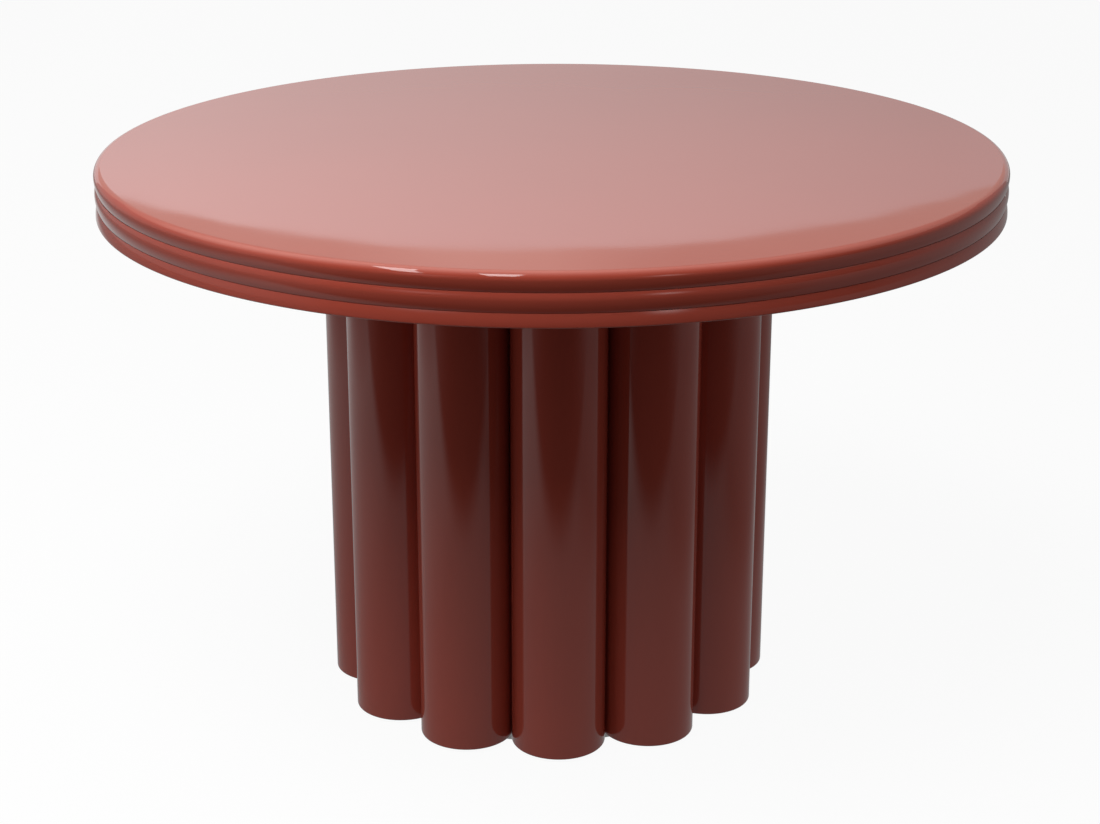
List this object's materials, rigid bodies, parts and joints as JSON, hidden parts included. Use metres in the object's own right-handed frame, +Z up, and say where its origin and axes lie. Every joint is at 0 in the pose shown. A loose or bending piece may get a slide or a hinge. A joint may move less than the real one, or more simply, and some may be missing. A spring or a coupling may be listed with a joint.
{
  "type": "side table",
  "caption": "Low round pedestal side table: a thick layered disc top with a reeded edge on a ring of touching round columns, glossy terracotta lacquer.",
  "frame": {"origin": "on the floor, on the table's vertical axis", "axes": "+Z up through the middle of the top; -Y towards the viewer of the picture, +X to the viewer's right"},
  "size_m": [0.6, 0.6, 0.3784],
  "materials": {
    "lacquer": "high-gloss terracotta lacquer over board and turned timber",
    "plywood": "sanded birch plywood, unfinished",
    "steel": "bright zinc plate",
    "brass": "turned brass",
    "felt": "pressed grey felt"
  },
  "bodies": {
    "root": {"upper_disc": "lacquer", "middle_disc": "lacquer", "lower_disc": "lacquer", "column_01": "lacquer", "column_02": "lacquer", "column_03": "lacquer", "column_04": "lacquer", "column_05": "lacquer", "column_06": "lacquer", "column_07": "lacquer", "column_08": "lacquer", "column_09": "lacquer", "column_10": "lacquer", "column_11": "lacquer", "column_12": "lacquer", "fixing_plate": "plywood", "tie_plate": "plywood", "column_screw_01": "steel", "column_screw_02": "steel", "column_screw_03": "steel", "column_screw_04": "steel", "column_screw_05": "steel", "column_screw_06": "steel", "column_screw_07": "steel", "column_screw_08": "steel", "column_screw_09": "steel", "column_screw_10": "steel", "column_screw_11": "steel", "column_screw_12": "steel", "top_bolt_1": "steel", "top_bolt_2": "steel", "top_bolt_3": "steel", "top_bolt_4": "steel", "top_bolt_5": "steel", "top_bolt_6": "steel", "threaded_insert_1": "brass", "threaded_insert_2": "brass", "threaded_insert_3": "brass", "threaded_insert_4": "brass", "threaded_insert_5": "brass", "threaded_insert_6": "brass", "felt_pad_01": "felt", "felt_pad_02": "felt", "felt_pad_03": "felt", "felt_pad_04": "felt", "felt_pad_05": "felt", "felt_pad_06": "felt", "felt_pad_07": "felt", "felt_pad_08": "felt", "felt_pad_09": "felt", "felt_pad_10": "felt", "felt_pad_11": "felt", "felt_pad_12": "felt"}
  },
  "joints": []
}
